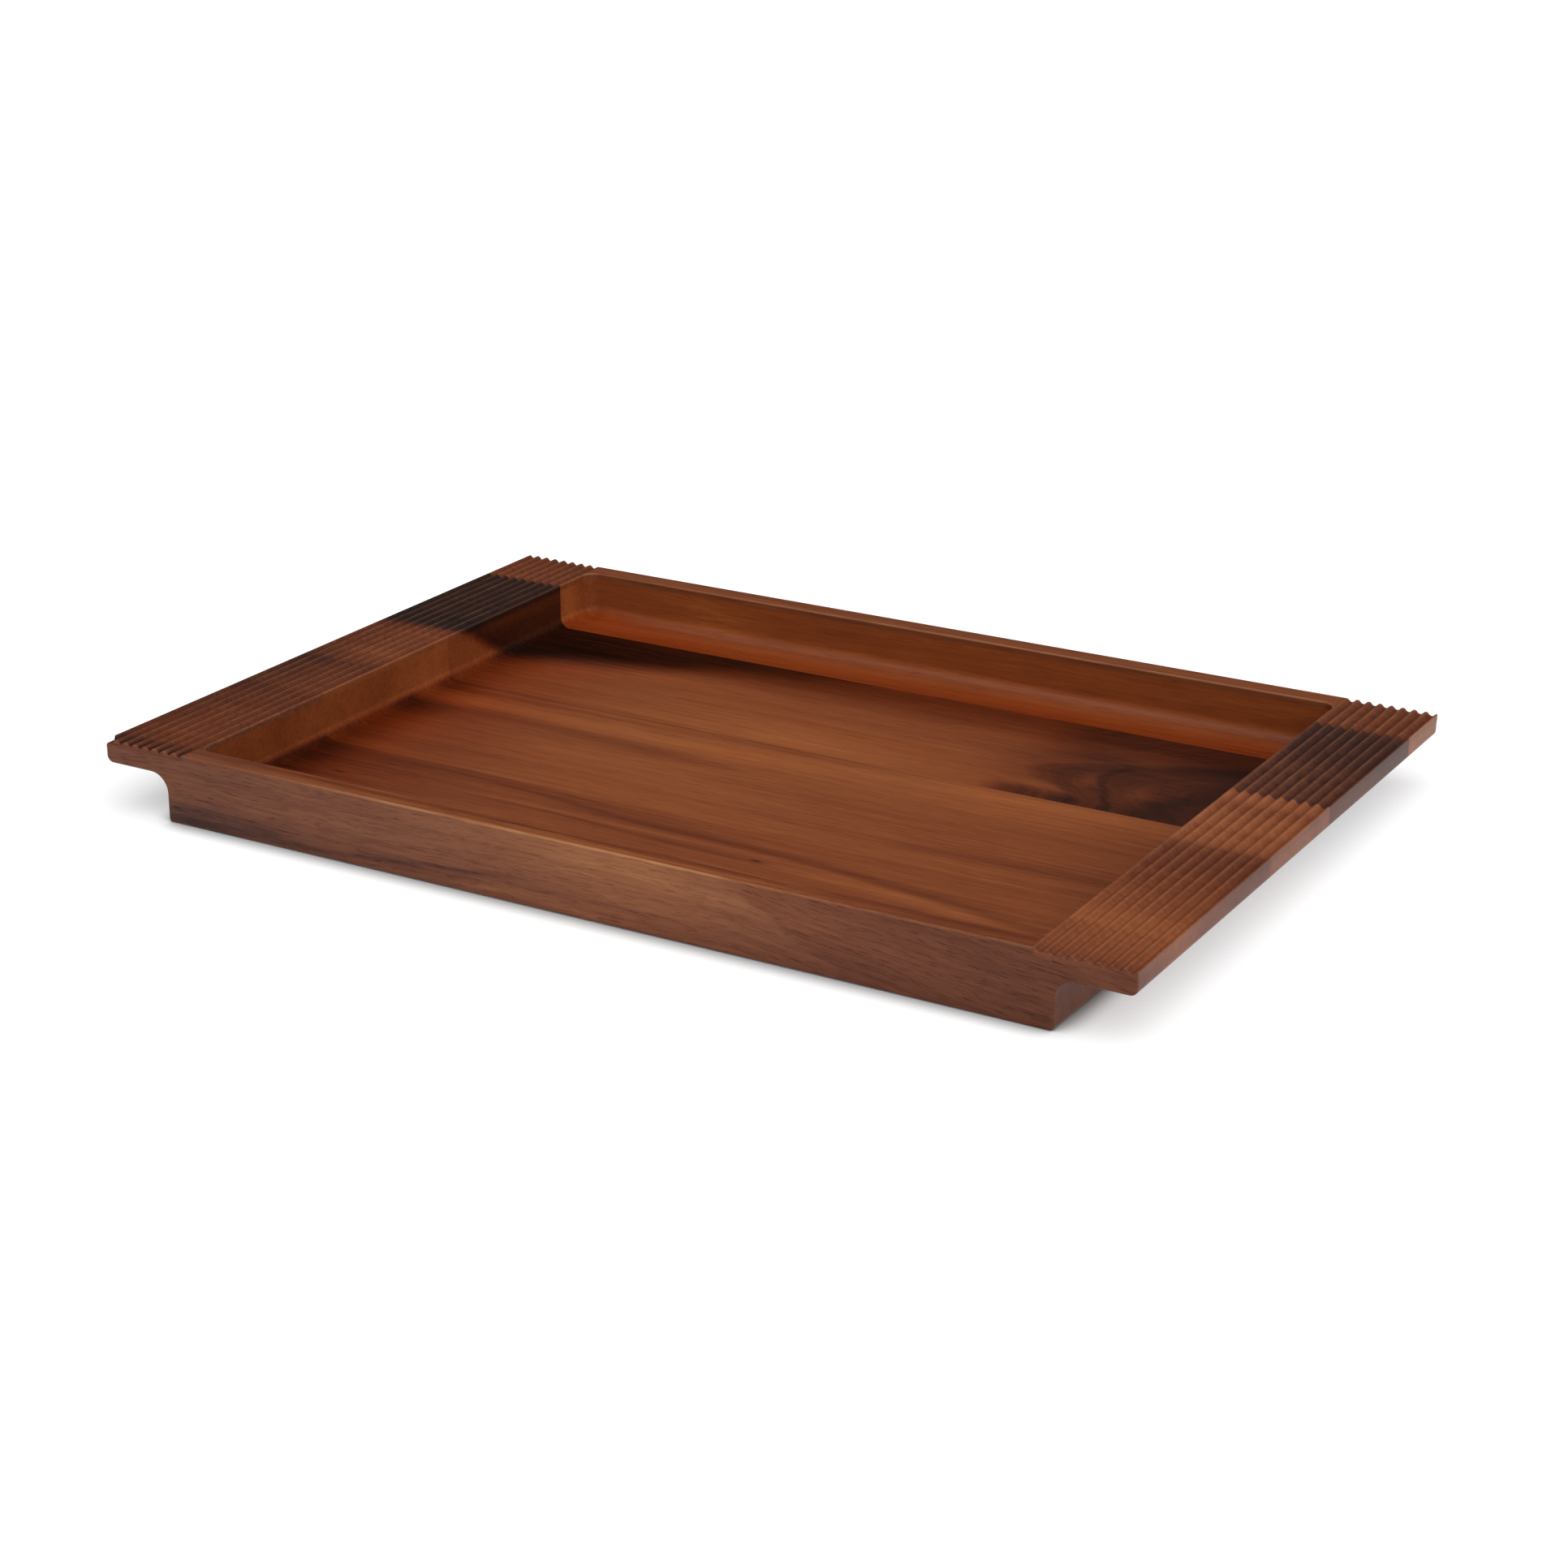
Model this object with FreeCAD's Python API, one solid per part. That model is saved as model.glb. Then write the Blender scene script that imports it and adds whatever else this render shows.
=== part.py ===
import FreeCAD, Part
import math
import os

# Rectangular wooden serving tray.
# Four full-length staves are glued edge to edge into one thick panel, and the panel is then milled:
# a shallow well in the top, a hollow under each short end that leaves an overhanging grab handle,
# and a band of waved ribs across the top of each handle.
# Millimetres. X runs along the staves, Y from front to back, Z up.
# The origin is the middle of the footprint, on the surface the tray stands on.

# Overall size of the milled panel
LENGTH = 457.0
WIDTH = 305.0
HEIGHT = 30.0

# Staves, from front to back: three of the same width, and a narrow one that makes up the width
STAVE_WIDTH = 90.0
STAVE_NAMES = ("front_rail_stave", "front_centre_stave", "rear_centre_stave", "back_rail_stave")

# Handles: the top of the panel runs on past the base at both ends
HANDLE_OVERHANG = 31.0
HANDLE_THICKNESS = 10.0
COVE_RADIUS = 8.0
HANDLE_TIP_RADIUS = 3.0
HANDLE_TOP_EASE = 0.5

# Ribs on top of each handle, running from front to back: round crests and valleys with sloping flanks
RIB_PITCH = 5.0
GROOVE_COUNT = 8
GROOVE_DEPTH = 1.4
RIB_FLANK_ANGLE = 45.0

# Well
END_MARGIN = 41.0
RIM_WIDTH = 10.0
WELL_DEPTH = 20.5
WELL_CORNER_RADIUS = 6.0
WELL_FOOT_RADIUS = 5.0
WELL_EDGE_EASE = 0.8

# Rounding of the outside
BASE_EDGE_RADIUS = 1.5
TOP_EDGE_RADIUS = 0.8
PLAN_CORNER_RADIUS = 1.5

# Worked out from the sizes above
HALF_LENGTH = LENGTH / 2
HALF_WIDTH = WIDTH / 2
BASE_HALF_LENGTH = HALF_LENGTH - HANDLE_OVERHANG
HANDLE_UNDERSIDE = HEIGHT - HANDLE_THICKNESS
FLOOR_TOP = HEIGHT - WELL_DEPTH
FLANK = math.radians(RIB_FLANK_ANGLE)
FLANK_RUN = (1 - math.cos(FLANK)) / math.tan(FLANK)
RIB_RADIUS = (RIB_PITCH / 2 - GROOVE_DEPTH / math.tan(FLANK)) / (2 * (math.sin(FLANK) - FLANK_RUN))
CREST_CENTRE_Z = HEIGHT - RIB_RADIUS
VALLEY_CENTRE_Z = HEIGHT - GROOVE_DEPTH + RIB_RADIUS
CLEARANCE = 5.0


def line(start, end):
    """Straight edge in the XZ plane between two (x, z) points."""
    return Part.makeLine(FreeCAD.Vector(start[0], 0, start[1]), FreeCAD.Vector(end[0], 0, end[1]))


def on_circle(centre, radius, angle):
    """The (x, z) point at an angle in degrees on a circle."""
    turn = math.radians(angle)
    return centre[0] + radius * math.cos(turn), centre[1] + radius * math.sin(turn)


def arc(centre, radius, start_angle, end_angle):
    """Arc in the XZ plane; angles are in degrees, counted from +X towards +Z."""
    points = []
    for angle in (start_angle, (start_angle + end_angle) / 2, end_angle):
        x, z = on_circle(centre, radius, angle)
        points.append(FreeCAD.Vector(x, 0, z))
    return Part.Arc(*points).toShape()


def underside_edges():
    """Right half of the outline from the middle of the base to the bottom of the handle's end face."""
    base_end = BASE_HALF_LENGTH
    cove_foot = HANDLE_UNDERSIDE - COVE_RADIUS
    tip_x = HALF_LENGTH - HANDLE_TIP_RADIUS
    return [
        line((0, 0), (base_end - BASE_EDGE_RADIUS, 0)),
        arc((base_end - BASE_EDGE_RADIUS, BASE_EDGE_RADIUS), BASE_EDGE_RADIUS, -90, 0),
        line((base_end, BASE_EDGE_RADIUS), (base_end, cove_foot)),
        arc((base_end + COVE_RADIUS, cove_foot), COVE_RADIUS, 180, 90),
        line((base_end + COVE_RADIUS, HANDLE_UNDERSIDE), (tip_x, HANDLE_UNDERSIDE)),
        arc((tip_x, HANDLE_UNDERSIDE + HANDLE_TIP_RADIUS), HANDLE_TIP_RADIUS, -90, 0),
    ]


def outer_rib_edges():
    """End face of the handle, its eased top edge, and the half rib that the end face cuts through."""
    ease_rise = math.sqrt(RIB_RADIUS ** 2 - 2 * RIB_RADIUS * HANDLE_TOP_EASE)
    ease_centre = (HALF_LENGTH - HANDLE_TOP_EASE, CREST_CENTRE_Z + ease_rise)
    ease_end = 90 + math.degrees(math.asin(HANDLE_TOP_EASE / (RIB_RADIUS - HANDLE_TOP_EASE)))
    face_bottom = (HALF_LENGTH, HANDLE_UNDERSIDE + HANDLE_TIP_RADIUS)
    return [
        line(face_bottom, (HALF_LENGTH, ease_centre[1])),
        arc(ease_centre, HANDLE_TOP_EASE, 0, ease_end),
        arc((HALF_LENGTH, CREST_CENTRE_Z), RIB_RADIUS, ease_end, 90 + RIB_FLANK_ANGLE),
    ]


def rib_edges():
    """Eight grooves with whole ribs between them, the half rib that rises to the flat top, and the flat top."""
    edges = []
    for groove in range(GROOVE_COUNT):
        last_crest = (HALF_LENGTH - groove * RIB_PITCH, CREST_CENTRE_Z)
        valley = (last_crest[0] - RIB_PITCH / 2, VALLEY_CENTRE_Z)
        crest = (last_crest[0] - RIB_PITCH, CREST_CENTRE_Z)
        crest_end = 90 if groove == GROOVE_COUNT - 1 else 90 + RIB_FLANK_ANGLE
        edges += [
            line(on_circle(last_crest, RIB_RADIUS, 90 + RIB_FLANK_ANGLE),
                 on_circle(valley, RIB_RADIUS, 270 + RIB_FLANK_ANGLE)),
            arc(valley, RIB_RADIUS, 270 + RIB_FLANK_ANGLE, 270 - RIB_FLANK_ANGLE),
            line(on_circle(valley, RIB_RADIUS, 270 - RIB_FLANK_ANGLE),
                 on_circle(crest, RIB_RADIUS, 90 - RIB_FLANK_ANGLE)),
            arc(crest, RIB_RADIUS, 90 - RIB_FLANK_ANGLE, crest_end),
        ]
    flat_start = HALF_LENGTH - GROOVE_COUNT * RIB_PITCH
    edges.append(line((flat_start, HEIGHT), (0, HEIGHT)))
    return edges


def end_to_end_profile():
    """The tray seen from the front: base, coves, handles and ribs, extruded from front to back."""
    right = underside_edges() + outer_rib_edges() + rib_edges()
    origin = FreeCAD.Vector(0, 0, 0)
    along = FreeCAD.Vector(1, 0, 0)
    left = [edge.mirror(origin, along) for edge in right]
    wire = Part.Wire(Part.__sortEdges__(right + left))
    blank = Part.Face(wire).extrude(FreeCAD.Vector(0, WIDTH, 0))
    blank.translate(FreeCAD.Vector(0, -HALF_WIDTH, 0))
    return blank


def straight_edges(shape, axis):
    """Edges of a shape that are straight and parallel to one axis, given as "X" or "Z"."""
    chosen = []
    for edge in shape.Edges:
        box = edge.BoundBox
        lengths = {"X": box.XLength, "Y": box.YLength, "Z": box.ZLength}
        lengths.pop(axis)
        if max(lengths.values()) < 1e-6:
            chosen.append(edge)
    return chosen


def section_blank():
    """Long bar with the eased top edges and the rounder bottom edges of the front and back faces."""
    corner = FreeCAD.Vector(-HALF_LENGTH - CLEARANCE, -HALF_WIDTH, 0)
    bar = Part.makeBox(LENGTH + 2 * CLEARANCE, WIDTH, HEIGHT, corner)
    top = [edge for edge in straight_edges(bar, "X") if edge.CenterOfMass.z > HEIGHT / 2]
    bar = bar.makeFillet(TOP_EDGE_RADIUS, top)
    bottom = [edge for edge in straight_edges(bar, "X") if edge.CenterOfMass.z < HEIGHT / 2]
    return bar.makeFillet(BASE_EDGE_RADIUS, bottom)


def plan_blank():
    """Upright block with the small rounding of the four corners seen from above."""
    corner = FreeCAD.Vector(-HALF_LENGTH, -HALF_WIDTH, -CLEARANCE)
    block = Part.makeBox(LENGTH, WIDTH, HEIGHT + 2 * CLEARANCE, corner)
    return block.makeFillet(PLAN_CORNER_RADIUS, straight_edges(block, "Z"))


def well_cutter():
    """The space milled out for the well, with rounded corners and a rounded foot all round."""
    well_length = LENGTH - 2 * END_MARGIN
    well_width = WIDTH - 2 * RIM_WIDTH
    corner = FreeCAD.Vector(-well_length / 2, -well_width / 2, FLOOR_TOP)
    cutter = Part.makeBox(well_length, well_width, WELL_DEPTH + CLEARANCE, corner)
    cutter = cutter.makeFillet(WELL_CORNER_RADIUS, straight_edges(cutter, "Z"))
    foot = [edge for edge in cutter.Edges if edge.BoundBox.ZMax < FLOOR_TOP + 1e-4]
    return cutter.makeFillet(WELL_FOOT_RADIUS, foot)


def well_rim_edges(body):
    """Edges where the walls of the well meet the flat top."""
    slack = 0.01
    reach_x = HALF_LENGTH - END_MARGIN + slack
    reach_y = HALF_WIDTH - RIM_WIDTH + slack
    well = FreeCAD.BoundBox(-reach_x, -reach_y, HEIGHT - slack, reach_x, reach_y, HEIGHT + slack)
    return [edge for edge in body.Edges if well.isInside(edge.BoundBox)]


def milled_panel():
    """The whole tray as one shape, before it is divided along the glue lines."""
    body = end_to_end_profile().common(section_blank())
    body = body.common(plan_blank())
    body = body.cut(well_cutter())
    return body.makeFillet(WELL_EDGE_EASE, well_rim_edges(body))


def stave_limits():
    """Front and back of each stave; the last one takes what is left of the width."""
    limits = []
    front = -HALF_WIDTH
    for name in STAVE_NAMES:
        back = min(front + STAVE_WIDTH, HALF_WIDTH)
        limits.append((name, front, back))
        front = back
    return limits


def stave(panel, front, back):
    """The part of the panel that one stave makes up."""
    corner = FreeCAD.Vector(-HALF_LENGTH - CLEARANCE, front, -CLEARANCE)
    slab = Part.makeBox(LENGTH + 2 * CLEARANCE, back - front, HEIGHT + 2 * CLEARANCE, corner)
    return panel.common(slab)


def main():
    os.makedirs("parts", exist_ok=True)
    panel = milled_panel()
    for name, front, back in stave_limits():
        solids = stave(panel, front, back).Solids
        if len(solids) != 1 or not solids[0].isValid():
            raise RuntimeError(name + " is not one valid solid")
        solids[0].exportStep(os.path.join("parts", name + ".step"))


main()
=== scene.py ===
import math

import bmesh
import bpy
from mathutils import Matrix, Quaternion, Vector


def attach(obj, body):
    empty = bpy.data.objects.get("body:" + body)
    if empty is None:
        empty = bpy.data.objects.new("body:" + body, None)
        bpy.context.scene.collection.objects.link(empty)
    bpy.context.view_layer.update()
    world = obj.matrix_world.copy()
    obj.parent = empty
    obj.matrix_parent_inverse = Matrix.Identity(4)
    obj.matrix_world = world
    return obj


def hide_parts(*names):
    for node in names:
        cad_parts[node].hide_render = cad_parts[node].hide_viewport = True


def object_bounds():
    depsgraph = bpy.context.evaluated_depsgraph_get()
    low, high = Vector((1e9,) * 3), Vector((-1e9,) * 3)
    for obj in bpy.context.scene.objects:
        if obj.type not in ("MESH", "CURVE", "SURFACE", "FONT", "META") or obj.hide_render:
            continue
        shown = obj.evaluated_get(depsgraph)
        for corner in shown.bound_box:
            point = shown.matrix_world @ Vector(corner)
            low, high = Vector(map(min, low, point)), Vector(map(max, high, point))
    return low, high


# Looks of a rectangular wooden serving tray: four staves glued edge to edge, a milled well and ribbed
# handles. Shapes are worked out in millimetres (X along the staves, Y front to back, Z up) and stored in
# metres.

MM = 0.001

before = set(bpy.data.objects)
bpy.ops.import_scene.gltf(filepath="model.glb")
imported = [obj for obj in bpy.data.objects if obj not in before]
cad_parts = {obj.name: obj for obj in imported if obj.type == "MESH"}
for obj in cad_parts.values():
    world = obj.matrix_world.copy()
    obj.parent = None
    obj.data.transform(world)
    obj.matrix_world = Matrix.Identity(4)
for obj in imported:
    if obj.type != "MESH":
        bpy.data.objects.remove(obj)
cad_low, cad_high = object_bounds()

# The tray is centred on X and Y and stands on Z = 0, so the upper corner of the CAD gives the overall size
HALF_LENGTH, HALF_WIDTH, HEIGHT = (round(side / MM, 3) for side in cad_high)
LENGTH = 2 * HALF_LENGTH
WIDTH = 2 * HALF_WIDTH

# Staves
STAVE_WIDTH = 90.0
GLUE_LINES = tuple(count * STAVE_WIDTH - HALF_WIDTH for count in (1, 2, 3))

# Base and handles
HANDLE_OVERHANG = 31.0
HANDLE_THICKNESS = 10.0
COVE_RADIUS = 8.0
TIP_RADIUS = 3.0
TOP_EASE = 0.5
BASE_EASE = 1.5
BASE_HALF_LENGTH = HALF_LENGTH - HANDLE_OVERHANG
HANDLE_UNDERSIDE = HEIGHT - HANDLE_THICKNESS

# Ribs across the top of each handle, up to the flat land
RIB_PITCH = 5.0
RIB_COUNT = 8
GROOVE_DEPTH = 1.4
RIB_FLANK_ANGLE = 45.0
FLANK = math.radians(RIB_FLANK_ANGLE)
RIB_RADIUS = (RIB_PITCH / 2 - GROOVE_DEPTH) / (2 * (math.sin(FLANK) + math.cos(FLANK) - 1))
LAND_X = HALF_LENGTH - RIB_COUNT * RIB_PITCH

# Well
END_MARGIN = 41.0
RIM_WIDTH = 10.0
WELL_DEPTH = 20.5
WELL_CORNER = 6.0
WELL_EASE = 0.8
WELL_FOOT = 5.0
WELL_X = HALF_LENGTH - END_MARGIN
WELL_Y = HALF_WIDTH - RIM_WIDTH
FLOOR_Z = HEIGHT - WELL_DEPTH

# How far the arrises of the front and back faces are rounded: along the rim, over the ribs, on the end face
# and round the underside
EASE_TOP = 0.8
EASE_RIB = 0.28
EASE_END_UPPER = 0.7
EASE_END = 1.0
EASE_UNDER = 1.0

# The outermost half rib is sanded off for the last few millimetres at the front left corner
LIP_TOP = 28.4
LIP_ROUND = 1.3
LIP_EASE = 0.9
LIP_LENGTH = 5.3

# How many straight pieces each rounding is made of
ARRIS_STEPS = 5
BASE_EASE_STEPS = 5
COVE_STEPS = 12
TIP_STEPS = 8
TOP_EASE_STEPS = 4
RIB_STEPS = 6
LIP_STEPS = 3
LIP_SLOPE_STEPS = 5
WELL_EASE_STEPS = 4
WELL_FOOT_STEPS = 9

# Places of extra rows of points on flat faces
BASE_ROW_X = 100.0
END_FACE_ROWS_Z = (25.5, 26.8)
WALL_ROWS_Z = (24.0, 19.0)
CORNER_ROWS_Y = (2.8, 5.0, 5.8, 9.0, 12.5, 16.0)
ROW_STEP = 9.0
RIM_STEP = 11.0

# Faces that meet at more than this many degrees are shaded with an edge between them
SHARP_ANGLE = 31.0


def arc(cx, cz, radius, start, end, steps):
    """Points on an arc, ends included; angles in degrees."""
    points = []
    for i in range(steps + 1):
        a = math.radians(start + (end - start) * i / steps)
        points.append((cx + radius * math.cos(a), cz + radius * math.sin(a)))
    return points


def spans(start, end, step):
    """Evenly spaced values from start to end, both included."""
    count = max(1, round(abs(end - start) / step))
    return [start + (end - start) * i / count for i in range(count + 1)]


def outer_rib(sanded):
    """The half rib along the end face, or the low rounded lip left where it has been sanded away.
    Both end at the bottom of the outermost groove and have the same number of points."""
    valley_x = HALF_LENGTH - RIB_PITCH / 2
    valley_z = HEIGHT - GROOVE_DEPTH
    if sanded:
        lip = arc(HALF_LENGTH - LIP_ROUND, LIP_TOP - LIP_ROUND, LIP_ROUND, 0, 90, LIP_STEPS)
        slope = []
        for i in range(1, LIP_SLOPE_STEPS + 1):
            x = lip[-1][0] + (valley_x - lip[-1][0]) * i / LIP_SLOPE_STEPS
            z = lip[-1][1] + (valley_z - lip[-1][1]) * i / LIP_SLOPE_STEPS
            slope.append((x, z, EASE_RIB))
        return [(x, z, LIP_EASE) for x, z in lip] + slope
    rise = math.sqrt(RIB_RADIUS ** 2 - 2 * RIB_RADIUS * TOP_EASE)
    ease_end = 90 + math.degrees(math.asin(TOP_EASE / (RIB_RADIUS - TOP_EASE)))
    points = arc(HALF_LENGTH - TOP_EASE, HEIGHT - RIB_RADIUS + rise, TOP_EASE, 0, ease_end, TOP_EASE_STEPS)
    points += arc(valley_x, valley_z + RIB_RADIUS, RIB_RADIUS, 270 + RIB_FLANK_ANGLE, 270, RIB_STEPS // 2)
    return [(x, z, EASE_RIB) for x, z in points]


def rib_points(sanded):
    """Right half, from the eased top of the end face inwards to where the ribs meet the flat rim."""
    flank = RIB_FLANK_ANGLE
    half_steps = RIB_STEPS // 2
    points = outer_rib(sanded)
    for rib in range(1, RIB_COUNT + 1):
        crest = (HALF_LENGTH - rib * RIB_PITCH, HEIGHT - RIB_RADIUS)
        valley = (crest[0] + RIB_PITCH / 2, HEIGHT - GROOVE_DEPTH + RIB_RADIUS)
        if rib == 1:
            wave = arc(*valley, RIB_RADIUS, 270, 270 - flank, half_steps)[1:]
        else:
            wave = arc(*valley, RIB_RADIUS, 270 + flank, 270 - flank, RIB_STEPS)
        if rib == RIB_COUNT:
            wave += arc(*crest, RIB_RADIUS, 90 - flank, 90, half_steps)
        else:
            wave += arc(*crest, RIB_RADIUS, 90 - flank, 90 + flank, RIB_STEPS)
        points += [(x, z, EASE_RIB) for x, z in wave]
    # The rounding of the front and back arris grows to that of the flat rim on the last half rib
    growing = half_steps + 1
    for i in range(growing):
        x, z, _ = points[i - growing]
        points[i - growing] = (x, z, EASE_RIB + (EASE_TOP - EASE_RIB) * (i + 1) / growing)
    return points


def half_chain(sanded):
    """Right half of the outline seen from the front, from the middle of the base to the flat rim."""
    base_turn = arc(BASE_HALF_LENGTH - BASE_EASE, BASE_EASE, BASE_EASE, -90, 0, BASE_EASE_STEPS)
    cove_z = HANDLE_UNDERSIDE - COVE_RADIUS
    cove = arc(BASE_HALF_LENGTH + COVE_RADIUS, cove_z, COVE_RADIUS, 180, 90, COVE_STEPS)
    tip = arc(HALF_LENGTH - TIP_RADIUS, HANDLE_UNDERSIDE + TIP_RADIUS, TIP_RADIUS, -90, 0, TIP_STEPS)
    right = [(0.0, 0.0, BASE_EASE), (BASE_ROW_X, 0.0, BASE_EASE)]
    right += [(x, z, EASE_UNDER) for x, z in base_turn + cove + tip]
    lower, upper = END_FACE_ROWS_Z
    right.append((HALF_LENGTH, lower, EASE_END))
    right.append((HALF_LENGTH, upper, LIP_EASE if sanded else EASE_END_UPPER))
    return right + rib_points(sanded)


def outer_chain(sanded=False):
    """Outline of the tray seen from the front, from the right land down round the base to the left land.
    Each point is (x, z, rounding of the front and back arris there)."""
    left = [(-x, z, ease) for x, z, ease in half_chain(sanded)[1:]]
    return half_chain(False)[::-1] + left


def inward_normals(chain):
    """Directions that point into a closed outline running clockwise seen from the front. They are longer
    at corners, so that equal steps along them keep an even distance from both sides."""
    least_cosine = 0.6
    count = len(chain)
    result = []
    for i in range(count):
        before, here, after = chain[i - 1], chain[i], chain[(i + 1) % count]
        first = Vector((here[0] - before[0], here[1] - before[1])).normalized()
        second = Vector((after[0] - here[0], after[1] - here[1])).normalized()
        mean = (first + second).normalized()
        result.append(Vector((mean.y, -mean.x)) / max(least_cosine, mean.dot(first)))
    return result


def orient_and_shade(mesh):
    """Turns every face outwards and sets smooth shading with sharp edges at real arrises."""
    shape = bmesh.new()
    shape.from_mesh(mesh)
    bmesh.ops.recalc_face_normals(shape, faces=shape.faces)
    loose = [edge for edge in shape.edges if len(edge.link_faces) != 2]
    if loose:
        raise RuntimeError(mesh.name + " is not closed: " + str(len(loose)) + " edges")
    shape.to_mesh(mesh)
    shape.free()
    for polygon in mesh.polygons:
        polygon.use_smooth = True
    mesh.set_sharp_from_angle(angle=math.radians(SHARP_ANGLE))


class Mesh:
    """Collects vertices and faces, welding vertices that share a position. Each face has an arris value: 1 on
    a rounded edge that is painted pale, partly as handling wear and partly as a painted highlight, 0
    elsewhere."""

    def __init__(self):
        self.points = []
        self.index = {}
        self.faces = []
        self.arris = []

    def vertex(self, x, y, z):
        key = (round(x, 4), round(y, 4), round(z, 4))
        if key not in self.index:
            self.index[key] = len(self.points)
            self.points.append(key)
        return self.index[key]

    def face(self, corners, arris=0.0):
        ring = []
        for corner in corners:
            v = self.vertex(*corner)
            if not ring or ring[-1] != v:
                ring.append(v)
        if len(ring) > 1 and ring[0] == ring[-1]:
            ring.pop()
        if len(ring) > 2:
            self.faces.append(ring)
            self.arris.append(arris)

    def strip(self, row_a, row_b, closed, arris=0.0):
        """Quads between two rows of points; arris is one value or one per quad."""
        count = len(row_a)
        for i in range(count if closed else count - 1):
            j = (i + 1) % count
            arris_wear_and_glint = arris[i] if isinstance(arris, list) else arris
            self.face([row_a[i], row_a[j], row_b[j], row_b[i]], arris_wear_and_glint)

    def build(self, name):
        mesh = bpy.data.meshes.new(name)
        mesh.from_pydata([tuple(c * MM for c in point) for point in self.points], [], self.faces)
        mesh.update()
        obj = bpy.data.objects.new(name, mesh)
        bpy.context.scene.collection.objects.link(obj)
        layer = mesh.attributes.new("arris", "FLOAT", "CORNER")
        values = []
        for polygon, arris_wear_and_glint in zip(mesh.polygons, self.arris):
            values += [arris_wear_and_glint] * polygon.loop_total
        layer.data.foreach_set("value", values)
        orient_and_shade(mesh)
        return obj


def well_profile():
    """Section of the well's edge, wall and foot, from the top down. Each point is (offset outwards from the
    wall, z, arris value of the face that leads down to it)."""
    edge = arc(WELL_EASE, HEIGHT - WELL_EASE, WELL_EASE, 90, 180, WELL_EASE_STEPS)
    foot = arc(-WELL_FOOT, FLOOR_Z + WELL_FOOT, WELL_FOOT, 0, -90, WELL_FOOT_STEPS)
    profile = [(off, z, 1.0) for off, z in edge]
    profile += [(0.0, z, 0.0) for z in WALL_ROWS_Z]
    return profile + [(off, z, 0.0) for off, z in foot]


def cross_section():
    """Closed outline of a section across the well: the outside, then the left and the right wall."""
    profile = well_profile()
    ring = [(x, z) for x, z, _ in outer_chain()]
    ring += [(-WELL_X - off, z) for off, z, _ in profile]
    return ring + [(WELL_X + off, z) for off, z, _ in profile[::-1]]


def centre_stave(name, front, back):
    """A stave that crosses the well: one section, the same along its whole width."""
    ring = cross_section()
    left_edge = len(outer_chain())
    right_edge = len(ring) - 2
    arris_wear_and_glint = [0.0] * len(ring)
    for k in range(WELL_EASE_STEPS):
        arris_wear_and_glint[left_edge + k] = 1.0
        arris_wear_and_glint[right_edge - k] = 1.0
    mesh = Mesh()
    rows = [[(x, y, z) for x, z in ring] for y in spans(front, back, ROW_STEP)]
    for row, following in zip(rows, rows[1:]):
        mesh.strip(row, following, True, arris_wear_and_glint)
    mesh.face(rows[0])
    mesh.face(rows[-1])
    return mesh.build(name)


def rounded_face(mesh, loop, rim_start, face_y, inwards):
    """The front or back face with its rounded arris; returns the row of points where the rounding ends.
    The outline's points from rim_start on are the flat rim, whose arris is painted pale, partly as wear and
    partly as a painted highlight."""
    normals = inward_normals(loop)
    rows = []
    for k in range(ARRIS_STEPS + 1):
        turn = math.radians(90 - 90 * k / ARRIS_STEPS)
        row = []
        for (x, z, ease), normal in zip(loop, normals):
            inset = ease * (1 - math.cos(turn))
            depth = ease * (1 - math.sin(turn))
            row.append((x + normal.x * inset, face_y + inwards * depth, z + normal.y * inset))
        rows.append(row)
    arris_wear_and_glint = [1.0 if i >= rim_start else 0.0 for i in range(len(loop))]
    mesh.face(rows[0])
    for row, following in zip(rows, rows[1:]):
        mesh.strip(row, following, True, arris_wear_and_glint)
    return rows[-1]


def walk_round_well(corner_rows, corner_x, middle_x, far_rows):
    """Matching points on the outside of the rim and on the wall of the well, from the right-hand cut, along
    the rail, to the left-hand cut. Outside points are (x, depth from the face); wall points come with the
    direction that leads away from the well there."""
    outside, wall = [], []
    for depth in far_rows[::-1]:
        outside.append((LAND_X, depth))
        wall.append(((WELL_X, depth), (1.0, 0.0)))
    half = len(corner_rows) - 1
    centre = (WELL_X - WELL_CORNER, RIM_WIDTH + WELL_CORNER)
    for i in range(2 * half + 1):
        turn = math.radians(90 * i / (2 * half))
        away = (math.cos(turn), -math.sin(turn))
        wall.append(((centre[0] + WELL_CORNER * away[0], centre[1] + WELL_CORNER * away[1]), away))
        outside.append((LAND_X, corner_rows[half - i]) if i <= half else (corner_x[i - half], EASE_TOP))
    right_count = len(wall)
    for x in middle_x:
        wall.append(((x, RIM_WIDTH), (0.0, -1.0)))
        outside.append((x, EASE_TOP))
    for i in range(right_count - 1, -1, -1):
        (x, depth), away = wall[i]
        wall.append(((-x, depth), (-away[0], away[1])))
        outside.append((-outside[i][0], outside[i][1]))
    return outside, wall


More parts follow.
